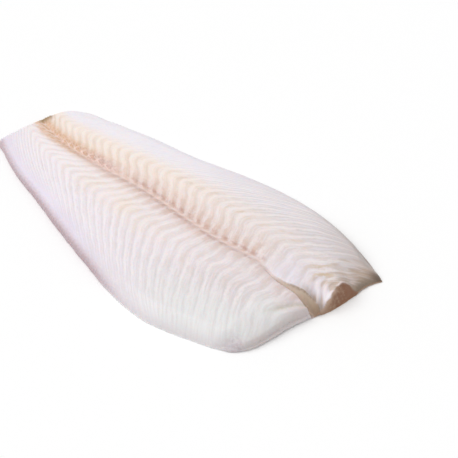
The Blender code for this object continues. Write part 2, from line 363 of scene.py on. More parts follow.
# %% [markdown]
# The cleft has a steep wall on the far side and a soft one on the near side. Beside it the far lobe
# ends in a tongue that bends down, and further out in a thin tip. The near lobe rolls down to its cut
# and leaves a soft lip there, with a shallow crease behind it. All of these but the lip are depths that
# are taken off the dome, and each fades out where its form ends.

# %% The cleft
CLEFT_LINE = [(200, -0.2), (218, -1.6), (230, -0.4), (246, -0.6)]
CLEFT_DEPTH = [(203, 0.0), (212, 1.8), (222, 4.0), (232, 7.0), (246, 9.8)]
CLEFT_NEAR_WIDTH = [(200, 1.6), (225, 1.8), (246, 3.2)]
CLEFT_FAR_WIDTH = [(200, 1.2), (222, 1.7), (233, 3.2), (246, 4.0)]
CLEFT_RIM_WIDTH = 0.25
CLEFT_RIM_DEPTHS = (1.5, 6.0)

beside_cleft = y - through(x, CLEFT_LINE)
cleft_width = np.where(beside_cleft > 0, through(x, CLEFT_FAR_WIDTH), through(x, CLEFT_NEAR_WIDTH))
up_cleft_wall = np.abs(beside_cleft) / cleft_width
far_slope = np.clip(1 - up_cleft_wall, 0, 1)
wall_shape = np.where(beside_cleft > 0, far_slope, 1 - ramp(up_cleft_wall, 0, 1))
cleft_depth = through(x, CLEFT_DEPTH)
cleft = cleft_depth * wall_shape
cleft_rim = bump(up_cleft_wall - 1.0, CLEFT_RIM_WIDTH) * ramp(cleft_depth, *CLEFT_RIM_DEPTHS)
cleft_rim = cleft_rim * (beside_cleft > 0)
print("The cleft is up to", cleft.max().round(1), "mm deep")

# %% The tongue, the thin tip, the roll and the lip
TONGUE_TIP = (245.0, 5.2)
TONGUE_REACH = (15.0, 12.0)
TONGUE_DROP = 7.0
TONGUE_POWER = 1.4
TIP_BEGINS = (22.0, 32.0)
TIP_LENGTH = 20.0
TIP_DROP = 7.4
TIP_POWER = 1.5
ROLL_LENGTH = 15.0
ROLL_DROP = 5.2
ROLL_POWER = 1.6
NEAR_LOBE_ENDS = (-2.0, 5.2)
LIP_CREASE = [(-30, 11.5), (-20, 9.5), (-13, 7.6), (-6, 5.7), (-2, 3.9)]
LIP_CREASE_DEPTH = 0.6
LIP_CREASE_HALF_WIDTH = 1.5
LIP_HEIGHT = 0.6
LIP_HALF_WIDTH = 2.0
LIP_PLACE = 0.45
LIP_ENDS = (-28.0, -14.0)

to_tip = np.hypot(np.clip(TONGUE_TIP[0] - x, 0, None) / TONGUE_REACH[0],
                  (y - TONGUE_TIP[1]) / TONGUE_REACH[1])
tongue = TONGUE_DROP * np.clip(1 - to_tip, 0, 1) ** TONGUE_POWER * ramp(y, 0, TONGUE_TIP[1])
thin_tip = TIP_DROP * np.clip(1 - from_cut / TIP_LENGTH, 0, 1) ** TIP_POWER * ramp(y, *TIP_BEGINS)

on_near_lobe = 1 - ramp(y, *NEAR_LOBE_ENDS)
roll = ROLL_DROP * np.clip(1 - from_cut / ROLL_LENGTH, 0, 1) ** ROLL_POWER * on_near_lobe
lip_crease_at = through(y, LIP_CREASE)
lip_shows = on_near_lobe * ramp(y, *LIP_ENDS)
lip_crease = LIP_CREASE_DEPTH * bump(from_cut - lip_crease_at, LIP_CREASE_HALF_WIDTH) * lip_shows
lip = LIP_HEIGHT * bump(from_cut - lip_crease_at * LIP_PLACE, LIP_HALF_WIDTH) * lip_shows
full = full - cleft - tongue - thin_tip - roll - lip_crease + lip
print("The tongue drops by", tongue.max().round(1), "mm and the tip by", thin_tip.max().round(1), "mm")

# %% [markdown]
# The end of the far lobe has shrunk into crinkles that run the way of its segments. Below them the
# knife left a hollow face with a ragged rim. A cut face could be made with a boolean, but its edge
# would be hard and its points would crowd. Here the face is a second height that climbs steeply from
# the cut, and the lower of the two heights is taken, with a soft edge between them.

# %% Crinkles, and the rounding into the rim
CRINKLES_A_SEGMENT = 3.2
CRINKLE_LENGTH = 7.0
CRINKLE_REACH = 24.0
CRINKLES_BEGIN = (1, 6)
CRINKLES_END = (40, 52)


def waves(place_x, place_y, size, seed):
    """Smooth random waves of about one unit, of the given size in millimetres."""
    return np.array([noise.noise((a / size, b / size, seed)) for a, b in zip(place_x, place_y)])


crinkled = np.clip(1 - from_cut / CRINKLE_REACH, 0, 1) * ramp(y, *CRINKLES_BEGIN)
crinkled = crinkled * (1 - ramp(y, *CRINKLES_END))
crinkle = crinkled * waves(segment * CRINKLES_A_SEGMENT, y / CRINKLE_LENGTH, size=1.0, seed=5.0)
full = full + crinkle
rim = np.minimum(np.where(across > 0, through(x, FAR_RIM), through(x, NEAR_RIM)), full)
from_side = (1 - np.abs(across)) * lobe_width
rounding = 1 - (1 - np.clip(from_side / np.where(across > 0, FAR_ROUNDING, NEAR_ROUNDING), 0, 1)) ** 2
height = rim + (full - rim) * rounding
print("The crinkles change the height by up to", np.abs(crinkle).max().round(1), "mm")

# %% The hollow face of the cut
FACE_DEPTH = [(2, 1.2), (5.5, 1.7), (10, 2.4), (15, 3.2), (21, 4.2), (25, 3.6), (29, 1.7), (36, 0.9)]
FACE_FOOT = 0.8
FACE_RISE = 11.5
FACE_POWER = 1.35
FACE_BEGINS = (1.0, 4.5)
FACE_ENDS = (30.0, 40.0)
OUT_OF_THE_WAY = 30
FACE_EDGE_SOFTNESS = 0.35
RAGGED = 0.34
RAGGED_SIZE = 3.2
RAGGED_STRETCH = 0.3
ON_FACE = (-1.0, 0.8)
DEEP_IN_FACE = (0.6, 4.5)
THINNEST = 1.0

face_shows = ramp(y, *FACE_BEGINS) * (1 - ramp(y, *FACE_ENDS))
face_share = np.clip(from_cut, 0, None) / through(y, FACE_DEPTH)
face_share = face_share * (1 + RAGGED * waves(x * RAGGED_STRETCH, y, RAGGED_SIZE, seed=9.0))
face = FACE_FOOT + FACE_RISE * face_share**FACE_POWER + OUT_OF_THE_WAY * (1 - face_shows)
under_dome = height - face
lower = -FACE_EDGE_SOFTNESS * np.logaddexp(-height / FACE_EDGE_SOFTNESS, -face / FACE_EDGE_SOFTNESS)
height = np.maximum(np.where(face_shows > 0, lower, height), THINNEST)
on_face = ramp(under_dome, *ON_FACE) * face_shows
face_deep = ramp(under_dome, *DEEP_IN_FACE)
print("The surface lies between", height.min().round(1), "and", height.max().round(1), "mm high")

# %% [markdown]
# ## Bands in relief
#
# Between two sheets the muscle swells a little, and the sheets lie in the furrows. The swelling is a few
# tenths of a millimetre, but a low light finds it. It fades towards the smooth edges. The bands could be
# painted alone, but then they would vanish in a side light. They are counted by a number of their own,
# which leads or trails the segment a little, so that they bend as in real flesh. On top comes a slow
# unevenness, as no lobe of flesh is as even as a formula.

# %% Muscle bands and unevenness
BAND_HEIGHT = 0.18
SUB_BAND_HEIGHT = 0.04
FAR_BANDS_END = [(-10, 0.55), (100, 0.62), (160, 0.86), (250, 0.93)]
NEAR_BANDS_END = [(-10, 0.80), (250, 0.86)]
BANDS_FADE = 0.16
FAR_LOBE_FROM = 4
BANDS_FROM_FAR_CUT = 3.0
BANDS_FROM_NEAR_CUT = 9.0
BANDS_LEAVE_CLEFT = (0.8, 4.5)
FAR_LEAD = [
    (20, 0.3), (80, 0.45), (150, 0.5), (165, 0.75), (180, 1.2), (195, 1.6), (205, 1.7), (240, 1.7),
]
NEAR_LEAD = [(20, 0.0), (60, 0.3), (105, 0.55), (130, 1.1), (155, 1.7), (180, 2.15), (240, 2.25)]
FAR_BEND = [(0, 0.3), (0.08, 0.25), (0.2, 0.0), (0.32, 0.0), (0.5, -0.4), (0.6, -0.4), (0.9, -0.3)]
NEAR_BEND = [
    (0, 0.25), (0.08, 0.2), (0.2, -0.05), (0.3, 0.05), (0.4, 0.1), (0.5, 0.15), (0.6, 0.25), (0.9, 0.35),
]
CHANGE_OVER = 0.03
WAVES = ((34.0, 0.26), (13.0, 0.12), (5.0, 0.05))
WAVES_FADE = 3


def band_at(place_segment, place_across):
    """The number of the band, counted as the sheets are seen: whole where a sheet is."""
    reach = np.abs(place_across)
    apex = PITCH_AT_TAIL / PITCH_GROWTH * (np.exp(PITCH_GROWTH * place_segment) - 1)
    on_far = through(apex, FAR_LEAD) + through(reach, FAR_BEND)
    on_near = through(apex, NEAR_LEAD) + through(reach, NEAR_BEND)
    return place_segment + on_near + (on_far - on_near) * ramp(place_across, -CHANGE_OVER, CHANGE_OVER)


band = band_at(segment, across)
swell = np.sin(pi * band) ** 2
bands_end = np.where(across > 0, through(x, FAR_BANDS_END), through(x, NEAR_BANDS_END))
bands_show = 1 - ramp(np.abs(across), bands_end - BANDS_FADE / 2, bands_end + BANDS_FADE / 2)
bands_from_cut = np.where(y > FAR_LOBE_FROM, BANDS_FROM_FAR_CUT, BANDS_FROM_NEAR_CUT)
bands_show = bands_show * ramp(from_cut, 0, bands_from_cut)
bands_show = bands_show * (1 - on_face) * (1 - ramp(cleft, *BANDS_LEAVE_CLEFT))
height = height + bands_show * (BAND_HEIGHT * (swell - 0.5) + SUB_BAND_HEIGHT * np.cos(4 * pi * band))
for size, depth in WAVES:
    height = height + depth * waves(x, y, size, seed=size) * ramp(from_side, 0, WAVES_FADE)
height = np.maximum(height, THINNEST)
print("Bands and waves change the height by up to", BAND_HEIGHT + sum(depth for _, depth in WAVES), "mm")

# %% [markdown]
# ## What each point remembers
#
# The finish of the flesh needs to know where it is: in which band, how far from the middle, from the
# cuts and from the sides, and whether it is on a cut face. A texture could be painted for that, but it
# would be fixed to one size. Here each point keeps those numbers as attributes of the mesh. Extruding
# copies them, so the side walls know them as well.

# %% Numbers kept on the mesh
def keep(name, values):
    """Keeps one number for each point of the fillet."""
    attribute = fillet.data.attributes.get(name) or fillet.data.attributes.new(name, "FLOAT", "POINT")
    attribute.data.foreach_set("value", np.asarray(values, np.float32))


def kept(name):
    """The numbers that the points of the fillet have under a name."""
    values = np.zeros(len(fillet.data.vertices), np.float32)
    fillet.data.attributes[name].data.foreach_get("value", values)
    return values


print("A new mesh keeps only", [attribute.name for attribute in fillet.data.attributes])

# %% Keeping what is known so far
FAR_WALL_ENDS = (0.85, 1.05)
FAR_WALL_DEPTHS = (0.5, 4.0)
NEAR_WALL_DEPTHS = (3, 7)

far_wall = (1 - ramp(up_cleft_wall, *FAR_WALL_ENDS)) * ramp(cleft_depth, *FAR_WALL_DEPTHS)
cleft_wall = np.where(beside_cleft > 0, far_wall, ramp(cleft, *NEAR_WALL_DEPTHS))
for name, values in (
    ("band", band), ("along", x), ("across", across), ("from_middle", from_middle),
    ("from_side", from_side), ("from_cut", from_cut), ("bands_show", bands_show),
    ("cut_face", on_face), ("face_deep", face_deep), ("beside_cleft", beside_cleft),
    ("cleft_wall", cleft_wall), ("cleft_rim", cleft_rim), ("crinkle", crinkle),
    ("lip_crease", lip_crease / LIP_CREASE_DEPTH), ("wall", np.zeros(len(x))),
):
    keep(name, values)
print("Each point keeps", len(fillet.data.attributes), "attributes")

# %% [markdown]
# A knife's edge is never a perfect line, and soft flesh sags over it. So the outline gets small waves,
# outwards and inwards, and the top edge drops where it meets the wall. Both need to know which way is
# outward, which comes from the outline's own points before and after the nearest one.

# %% Which way is outward at the edge
OUTLINE_WAVES = ((9.0, 0.35), (3.2, 0.30))
ROUNDED_TOP = 2.4
ROUNDED_TOP_DROP = 0.45
WAVES_REACH = 1.5
NEIGHBOUR = 3
EVERY = 2

at_edge = (row == 0) | (row == ROWS) | (column == 0) | (column == COLUMNS)
line_way = np.roll(edge_line, -NEIGHBOUR, axis=0) - np.roll(edge_line, NEIGHBOUR, axis=0)
line_out = np.stack([-line_way[:, 1], line_way[:, 0]], axis=-1)
line_out = line_out / np.hypot(*line_out.T)[:, None]
gaps = np.hypot(x[:, None] - edge_line[::EVERY, 0], y[:, None] - edge_line[::EVERY, 1])
from_edge = gaps.min(axis=1)
outward = line_out[gaps.argmin(axis=1) * EVERY]
keep("out_x", outward[:, 0])
keep("out_y", outward[:, 1])
height = height * (1 - ROUNDED_TOP_DROP * (1 - np.clip(from_edge / ROUNDED_TOP, 0, 1)) ** 2)
keep("rim_height", height)
wave = sum(depth * waves(x, y, size, seed=3.0) for size, depth in OUTLINE_WAVES)
wave = wave * np.exp(-from_edge / WAVES_REACH)
x = x + wave * outward[:, 0]
y = y + wave * outward[:, 1]
keep("edge_x", x)
keep("edge_y", y)
print("The rim is", height[at_edge].min().round(1), "to", height[at_edge].max().round(1), "mm high")

# %% The points take their places
def place_points(chosen, place_x, place_y, place_z):
    """Moves the chosen points to places in millimetres, with the outline's middle at the origin."""
    places = np.zeros(len(fillet.data.vertices) * 3)
    fillet.data.vertices.foreach_get("co", places)
    places = places.reshape(-1, 3)
    shifted = [place_x - middle_of_box[0], place_y - middle_of_box[1], place_z]
    places[chosen] = np.stack(shifted, axis=-1) * MM
    fillet.data.vertices.foreach_set("co", places.ravel())
    fillet.data.update()


place_points(np.ones(len(x), bool), x, y, height)
print("The top of the flesh is up to", height.max().round(2), "mm above the table")

# %% [markdown]
# ## Side walls and the flat side
#
# The knife left a wall all round, a few millimetres high. It bulges slightly and turns in under the
# flesh where that rests on the table. Solidify could make a wall, but not this curve. So the open edge
# is extruded downwards five times, and each new loop is set a little out or in. The last loop is closed
# with one face, which is then bisected into small cells, so that the finish has points to hold on to.

# %% The walls, by extruding the open edge
WALL_LOOPS = ((0.74, 0.22), (0.45, 0.30), (0.20, 0.05), (0.06, -0.40), (0.0, -1.00))

fillet.data.update()
bpy.ops.object.mode_set(mode="EDIT")
bpy.ops.mesh.select_mode(type="EDGE")
bpy.ops.mesh.select_all(action="DESELECT")
bpy.ops.mesh.select_non_manifold(extend=False, use_wire=False, use_boundary=True,
                                 use_multi_face=False, use_non_contiguous=False, use_verts=False)
for share, outset in WALL_LOOPS:
    bpy.ops.mesh.extrude_edges_move()
    bpy.ops.object.mode_set(mode="OBJECT")
    chosen = np.zeros(len(fillet.data.vertices), bool)
    fillet.data.vertices.foreach_get("select", chosen)
    out_x, out_y, edge_x, edge_y, rim_height = (
        kept(name)[chosen] for name in ("out_x", "out_y", "edge_x", "edge_y", "rim_height")
    )
    wall = kept("wall")
    wall[chosen] = 1 - share
    keep("wall", wall)
    place_points(chosen, edge_x + outset * out_x, edge_y + outset * out_y, share * rim_height)
    bpy.ops.object.mode_set(mode="EDIT")
print("The wall has", int(chosen.sum()), "points in each loop")

# %% The flat side, closed and cut into cells
CELL = 6.0

bpy.ops.mesh.edge_face_add()
for axis, low, high in ((0, cad_box[0][0], cad_box[1][0]), (1, cad_box[0][1], cad_box[1][1])):
    normal = [0, 0, 0]
    normal[axis] = 1
    for place in np.arange(low + CELL * MM, high, CELL * MM):
        point = [0, 0, 0]
        point[axis] = place
        bpy.ops.mesh.bisect(plane_co=point, plane_no=normal)
bpy.ops.mesh.select_all(action="SELECT")
bpy.ops.mesh.normals_make_consistent(inside=False)
bpy.ops.object.mode_set(mode="OBJECT")
print("The fillet has", len(fillet.data.polygons), "faces")

# %% The flat side learns where it is
ON_TABLE = 0.01

places = np.zeros(len(fillet.data.vertices) * 3)
fillet.data.vertices.foreach_get("co", places)
under_x, under_y, under_z = places.reshape(-1, 3).T / MM
under_x = under_x + middle_of_box[0]
under_y = under_y + middle_of_box[1]
flat = (under_z < ON_TABLE) & (np.arange(len(under_z)) >= len(x))
under_middle, _, under_across = across_fillet(under_x, under_y)
under_band = band_at(segment_at(under_x, under_across), under_across)
for name, values in (("band", under_band), ("along", under_x), ("across", under_across),
                     ("from_middle", under_middle), ("wall", np.ones(len(flat)))):
    mended = kept(name)
    mended[flat] = values[flat]
    keep(name, mended)
for name in ("out_x", "out_y", "edge_x", "edge_y", "rim_height"):
    fillet.data.attributes.remove(fillet.data.attributes[name])
bpy.ops.object.shade_smooth()
print("The flat side has", int(flat.sum()), "points")

# %% [markdown]
# ## The finish of the flesh
#
# Raw sole is a translucent pale flesh with a wet shine. The colour could be one pink with noise on it,
# but what makes it sole is the order of its bands. So the finish is laid like thin glazes of paint, one
# over another, and each glaze has a mask worked out from the numbers that the points keep.

# %% Small tools for the finish
flesh = bpy.data.materials.new("wet_sole_flesh")
flesh.use_nodes = True
tree = flesh.node_tree
shader = tree.nodes["Principled BSDF"]


def plug(value, socket):
    """Links a socket to another one, or sets a plain value on it."""
    if isinstance(value, bpy.types.NodeSocket):
        tree.links.new(value, socket)
    else:
        socket.default_value = value


def number(name):
    """A number that the points of the fillet keep."""
    node = tree.nodes.new("ShaderNodeAttribute")
    node.attribute_name = name
    return node.outputs["Fac"]


def figure(operation, *values):
    """A sum, product or other figure of one, two or three values."""
    node = tree.nodes.new("ShaderNodeMath")
    node.operation = operation
    for value, socket in zip(values, node.inputs):
        plug(value, socket)
    return node.outputs[0]


def product(*values):
    """All the values multiplied."""
    total = values[0]
    for value in values[1:]:
        total = figure("MULTIPLY", total, value)
    return total


print("The material is called", flesh.name)

# %% Soft steps and hills
def step(value, start, end, low=0.0, high=1.0):
    """Low up to start, high from end on, and smooth between them."""
    node = tree.nodes.new("ShaderNodeMapRange")
    node.interpolation_type = "SMOOTHSTEP"
    for given, socket in zip((value, start, end, low, high), node.inputs):
        plug(given, socket)
    return node.outputs[0]


def hill(value, centre, half_width):
    """1 at the centre, and smoothly down to 0 at the half width on both sides."""
    return step(figure("ABSOLUTE", figure("SUBTRACT", value, centre)), half_width, 0.0)


def to_whole(value):
    """How far a value is from the nearest whole number, 0 to 0.5."""
    return figure("PINGPONG", value, 0.5)


print("So far the material has only its", len(tree.nodes), "first nodes")

# %% [markdown]
# A glaze is one Mix node: the colour below, the colour over it, and a mask from 0 to 1. The node has
# sockets for several kinds of value under the same names, so those for colours are taken by their
# number. Tones are given as a picture shows them and are made ready for the shader, which counts light
# evenly. The random patterns are Noise nodes. One could paint them, but a pattern that is worked out has
# no seams and stays sharp from any distance.

# %% Tones, glazes and random patterns
UNDER, OVER, MIXED = 6, 7, 2


def tone(red, green, blue):
    """A colour as a picture shows it, 0 to 255, made even by the standard curve of screens."""
    shares = np.array([red, green, blue]) / 255
    linear = np.where(shares <= 0.04045, shares / 12.92, ((shares + 0.055) / 1.055) ** 2.4)
    return (*linear, 1.0)


def glaze(under, colour, mask):
    """A colour laid over another where the mask says."""
    node = tree.nodes.new("ShaderNodeMix")
    node.data_type = "RGBA"
    node.clamp_factor = True
    plug(mask, node.inputs["Factor"])
    plug(under, node.inputs[UNDER])
    plug(colour, node.inputs[OVER])
    return node.outputs[MIXED]


def glazes():
    """How many glazes the finish has so far."""
    return sum(node.bl_idname == "ShaderNodeMix" for node in tree.nodes)


def speckle(scale, detail=2.0, roughness=0.5, vector=None):
    """Random patches around 0.5. The scale is patches per metre, or per unit of the vector."""
    node = tree.nodes.new("ShaderNodeTexNoise")
    node.inputs["Scale"].default_value = scale
    node.inputs["Detail"].default_value = detail
    node.inputs["Roughness"].default_value = roughness
    plug(place if vector is None else vector, node.inputs["Vector"])
    return node.outputs["Fac"]


def vector_of(*values):
    """Three values as the place that a pattern is read at."""
    node = tree.nodes.new("ShaderNodeCombineXYZ")
    for value, socket in zip(values, node.inputs):
        plug(value, socket)
    return node.outputs[0]


print("A middle grey of 128 is", round(float(tone(128, 128, 128)[0]), 3), "of white in even light")

# %% [markdown]
# The masks read the numbers below. Lengths are in millimetres: along the fillet from its tail, from the
# centre line, from the side, and from the head cut. The share is 0 at the centre line, 1 at the far side
# and -1 at the near one, and the reach is the same without its sign. A step has the two places that it
# runs between and, where they aren't 0 and 1, the two values there. A hill has its centre and its half
# width. A plain number at the end of a product is the strength of the glaze. The band's number gets a
# slow wobble, because no two bands are equally wide.

# %% The numbers that the masks read
WOBBLE_SCALE = 110.0
WOBBLE = 0.6
HALF_SEAM = 0.6

place = tree.nodes.new("ShaderNodeTexCoord").outputs["Object"]
along = number("along")
middle = number("from_middle")
side = number("from_side")
share = number("across")
cut = number("from_cut")
shown = number("bands_show")
raw_band = number("band")
band_number = figure("ADD", raw_band, figure("MULTIPLY_ADD", speckle(WOBBLE_SCALE), WOBBLE, -WOBBLE / 2))
far = step(middle, -HALF_SEAM, HALF_SEAM)
near = figure("SUBTRACT", 1.0, far)
distance = figure("ABSOLUTE", middle)
reach = figure("ABSOLUTE", share)
print("The points keep", [attribute.name for attribute in fillet.data.attributes])

# %% [markdown]
# Flesh has a grain. Streaks and fine lines run along the bands, dabs fill some bands more than others,
# and fibres run the length of the fillet. Each of them is a random pattern that is stretched one way.
# Round patches and a fine mottle lie over them. One even noise for all would look like stone.

# %% Streaks, fine lines, dabs, fibres and mottle
def strands(value, crowding, crowding_across, seed, detail=3.0, roughness=0.6):
    """Random patches, so many to each unit of a value and to each millimetre from the centre line."""
    stretched = vector_of(product(value, crowding), product(middle, crowding_across), seed)
    return speckle(1.0, detail, roughness, stretched)


patchy = speckle(90.0, 3.0)
grain = speckle(300.0, 3.0, 0.6)
mottle = speckle(650.0, 4.0, 0.6)
streak = strands(raw_band, 2.8, 0.10, seed=0.0)
fine_line = strands(raw_band, 6.0, 0.10, seed=11.0, detail=2.0, roughness=0.5)
dabs = strands(raw_band, 1.0, 0.18, seed=3.0, detail=2.0, roughness=0.5)
fibre = strands(along, 0.16, 0.95, seed=7.0)
print("Patterns so far:", sum(node.bl_idname == "ShaderNodeTexNoise" for node in tree.nodes))

# %% Distance to a sheet
FRAY = (0.55, 0.50)


def frayed(value, by_streak, by_mottle):
    """A distance to a line, made uneven by the streaks and the mottle."""
    value = figure("MULTIPLY_ADD", figure("SUBTRACT", streak, 0.5), by_streak, value)
    return figure("MULTIPLY_ADD", figure("SUBTRACT", mottle, 0.5), by_mottle, value)


to_sheet = frayed(to_whole(band_number), *FRAY)
to_half = frayed(to_whole(product(band_number, 2.0)), *FRAY)
stripe = step(to_sheet, 0.16, 0.48)
fine_stripe = step(to_half, 0.12, 0.42)
sheet = step(to_sheet, 0.34, 0.02)
print("The masks have", len(tree.nodes), "nodes so far")

# %% [markdown]
# The ground colour is a pale lilac white. It is more lilac on the near lobe and in the outer arms of the
# far one. A single tone would do from afar, but close by the pale sides are what sets off the bands.

# %% Ground colour
PALE = tone(247, 242, 248)
LILAC = tone(240, 233, 244)
EDGE_LILAC = tone(233, 230, 240)
SIDE_GREY = tone(206, 200, 214)
SIDE_LILAC = tone(226, 216, 238)

ground = glaze(PALE, LILAC, product(near, 0.8))
far_arms = product(far, step(share, 0.74, 0.95), step(along, 15.0, 110.0), 0.5)
ground = glaze(ground, EDGE_LILAC, far_arms)
near_grey = product(near, step(side, 12.0, 3.0), step(along, 60.0, 95.0), step(along, 190.0, 145.0), 0.6)
ground = glaze(ground, SIDE_GREY, near_grey)
near_lilac = product(near, step(side, 14.0, 5.0), step(along, 130.0, 90.0), 0.55)
ground = glaze(ground, SIDE_LILAC, near_lilac)
print("With the ground colour the finish has", glazes(), "glazes")

# %% [markdown]
# Beside the centre line the flesh is warmer, most of all towards the tail and on the far lobe, where
# more of the dark muscle shines through. Towards the head everything is greyer and darker, which is
# painted shade. Last comes a fine grain of cool and warm patches, as in any raw flesh.

# %% Warmth beside the centre line
WARM = tone(250, 234, 222)
INNER_TAN = tone(234, 204, 180)
INNER_PINK = tone(230, 202, 191)
NEAR_TAN = tone(242, 222, 200)

far_warm = product(far, step(share, 0.70, 0.42), step(along, 240.0, 90.0, 0.35, 1.0))
near_warm = product(near, step(reach, 0.62, 0.30), 0.30)
ground = glaze(ground, WARM, figure("MAXIMUM", far_warm, near_warm))
inner_tone = glaze(INNER_TAN, INNER_PINK, step(along, 45.0, 95.0))
inner_far = product(far, step(share, 0.38, 0.06), step(along, 212.0, 188.0, 0.0, 0.9))
inner_near = product(near, step(reach, 0.20, 0.04), step(along, 240.0, 170.0, 0.2, 0.6))
ground = glaze(ground, inner_tone, figure("MAXIMUM", inner_far, inner_near))
near_tan = product(near, hill(along, 98.0, 60.0), hill(reach, 0.32, 0.32))
ground = glaze(ground, NEAR_TAN, product(near_tan, step(patchy, 0.35, 0.60, 0.15, 0.55)))
print("With the warm flesh the finish has", glazes(), "glazes")

# %% Painted shade towards the head, and a fine grain
HEAD_SHADE_GREY = tone(208, 197, 199)
COOL = tone(232, 228, 246)
BLUSH = tone(250, 232, 226)

# Painted shade: the flesh darkens and greys towards the head.
ground = glaze(ground, HEAD_SHADE_GREY, product(step(along, 60.0, 300.0), 0.85))
ground = glaze(ground, COOL, product(step(grain, 0.50, 0.68), 0.25))
ground = glaze(ground, BLUSH, product(step(grain, 0.50, 0.34), 0.20))
print("With the grain the finish has", glazes(), "glazes")

# %% [markdown]
# A tan stripe lies in each band, where its flesh is thickest. It is strongest in the flank, where the
# bands turn, and comes and goes in dabs. In the outer arms it splits in two fine lines, greyer than the
# stripe. Straight stripes would be simpler, but the eye sees at once that no band is drawn with a ruler.

# %% Tan stripes
TAN = tone(226, 207, 190)

inner_stripes = product(far, step(share, 0.56, 0.36), step(along, 110.0, 60.0, 0.36, 0.54))
flank_dabs = product(far, hill(share, 0.43, 0.15), step(along, 80.0, 120.0))
flank_dabs = product(flank_dabs, step(along, 245.0, 185.0, 0.3, 1.0), step(dabs, 0.34, 0.56))
near_stripes = product(near, step(reach, 0.88, 0.50, 0.22, 0.48), step(along, 225.0, 160.0, 0.65, 1.0))
near_stripes = product(near_stripes, step(along, 0.0, 60.0, 0.6, 1.0), step(dabs, 0.30, 0.62, 0.5, 1.0))
stripes_show = figure("MAXIMUM", figure("MAXIMUM", inner_stripes, flank_dabs), near_stripes)
stripes = product(stripe, stripes_show, step(patchy, 0.30, 0.62, 0.35, 1.0))
coloured = glaze(ground, TAN, stripes)
print("With the tan stripes the finish has", glazes(), "glazes")

# %% Fine lines in the outer arms
OLIVE = tone(214, 207, 205)

arms_begin = product(near, step(along, 150.0, 210.0, 0.0, 0.22))
outer_arms = step(figure("ADD", reach, arms_begin), 0.40, 0.60)
outer_arms = product(outer_arms, step(side, 1.0, 6.0), step(dabs, 0.30, 0.60, 0.5, 1.0))
far_arms_show = product(far, step(along, 90.0, 215.0, 0.16, 0.95))
near_arms_show = product(near, step(along, 140.0, 200.0, 0.34, 0.85))
outer_arms = product(outer_arms, figure("MAXIMUM", far_arms_show, near_arms_show))
arm_lines = product(fine_stripe, outer_arms, step(along, 120.0, 210.0, 1.0, 0.9))
coloured = glaze(coloured, OLIVE, arm_lines)
print("With the outer arms the finish has", glazes(), "glazes")

# %% [markdown]
# The sheets are thin and white, and show as pale lines between the bands. Pale fibres cross them here
# and there. Between the sheets lie many finer lines, light and dark by turns, which make the flesh look
# like strands and not like paint.

# %% Pale sheets, fibres and fine lines along the bands
SHEET = tone(252, 243, 238)

pale_lines = product(sheet, shown, step(streak, 0.35, 0.6, 0.2, 0.5), step(distance, 1.0, 7.0, 0.3, 1.0))
coloured = glaze(coloured, SHEET, pale_lines)
coloured = glaze(coloured, SHEET, product(step(fibre, 0.50, 0.70), step(mottle, 0.45, 0.65), 0.35))
fine_lines_show = product(step(side, 0.5, 4.0), step(along, 100.0, 180.0, 0.5, 0.9))
coloured = glaze(coloured, PALE, product(step(fine_line, 0.52, 0.66), fine_lines_show, 0.36))
coloured = glaze(coloured, OLIVE, product(step(fine_line, 0.48, 0.34), fine_lines_show, 0.28))
print("With the sheets the finish has", glazes(), "glazes")

# %% [markdown]
# The dark muscle lies under the centre line. Towards the tail it shows as a gold-brown band, which turns
# pinker as it fades. A net of pale lines crosses it, where thin sheets run both ways over the muscle,
# and small red-brown dabs sit in its meshes. Its edge is toothed, because the bands cut into it.

# %% The dark band towards the tail
TAIL_BROWN = tone(215, 169, 127)
SPINE_MAUVE = tone(211, 177, 172)

band_middle = figure("SUBTRACT", middle, step(along, -5.0, 60.0, -2.0, 2.4))
spine_band = product(hill(band_middle, 0.0, 9.5), step(along, 88.0, 58.0))
spine_band = product(step(spine_band, 0.0, 0.95), step(to_sheet, 0.02, 0.30, 0.62, 1.0))
spine_strength = product(step(mottle, 0.25, 0.70, 0.55, 1.0), step(along, 40.0, 10.0, 0.96, 1.0))
spine_tone = glaze(TAIL_BROWN, SPINE_MAUVE, step(along, 30.0, 72.0))
coloured = glaze(coloured, spine_tone, product(spine_band, spine_strength))
print("With the dark band the finish has", glazes(), "glazes")

# %% The net of pale lines, and the dabs in its meshes
NET_PINK = tone(246, 220, 212)
DARK_RED = tone(166, 116, 108)
NET_SLANT = 0.20

net_up = to_whole(figure("MULTIPLY_ADD", band_middle, NET_SLANT, band_number))
net_down = to_whole(figure("MULTIPLY_ADD", band_middle, -NET_SLANT, band_number))
net_lines = figure("MAXIMUM", step(net_up, 0.20, 0.02), step(net_down, 0.20, 0.02))
net_lines = product(net_lines, hill(band_middle, 0.0, 5.5), step(mottle, 0.30, 0.60, 0.6, 1.0))
coloured = glaze(coloured, NET_PINK, product(net_lines, step(spine_band, 0.0, 0.5), 0.90))
spine_dabs = product(step(to_half, 0.10, 0.42), hill(band_middle, 0.0, 5.5), step(mottle, 0.42, 0.62))
coloured = glaze(coloured, DARK_RED, product(spine_dabs, spine_band, step(along, 12.0, 45.0), 0.42))
print("With the net the finish has", glazes(), "glazes")

# %% [markdown]
# Past the dark band two rows of soft flames run on, one in each band, and end before the cleft. On the
# far lobe each flame is tan, with a darker root. On the near lobe they are shorter and fainter towards
# the head. Their length changes with the dabs, so that no two are alike.

# %% Two rows of flames
FLAME_TAN = tone(218, 190, 176)
FLAME = tone(188, 149, 136)
DASH = tone(208, 174, 158)
FULL_SHARE = 0.40

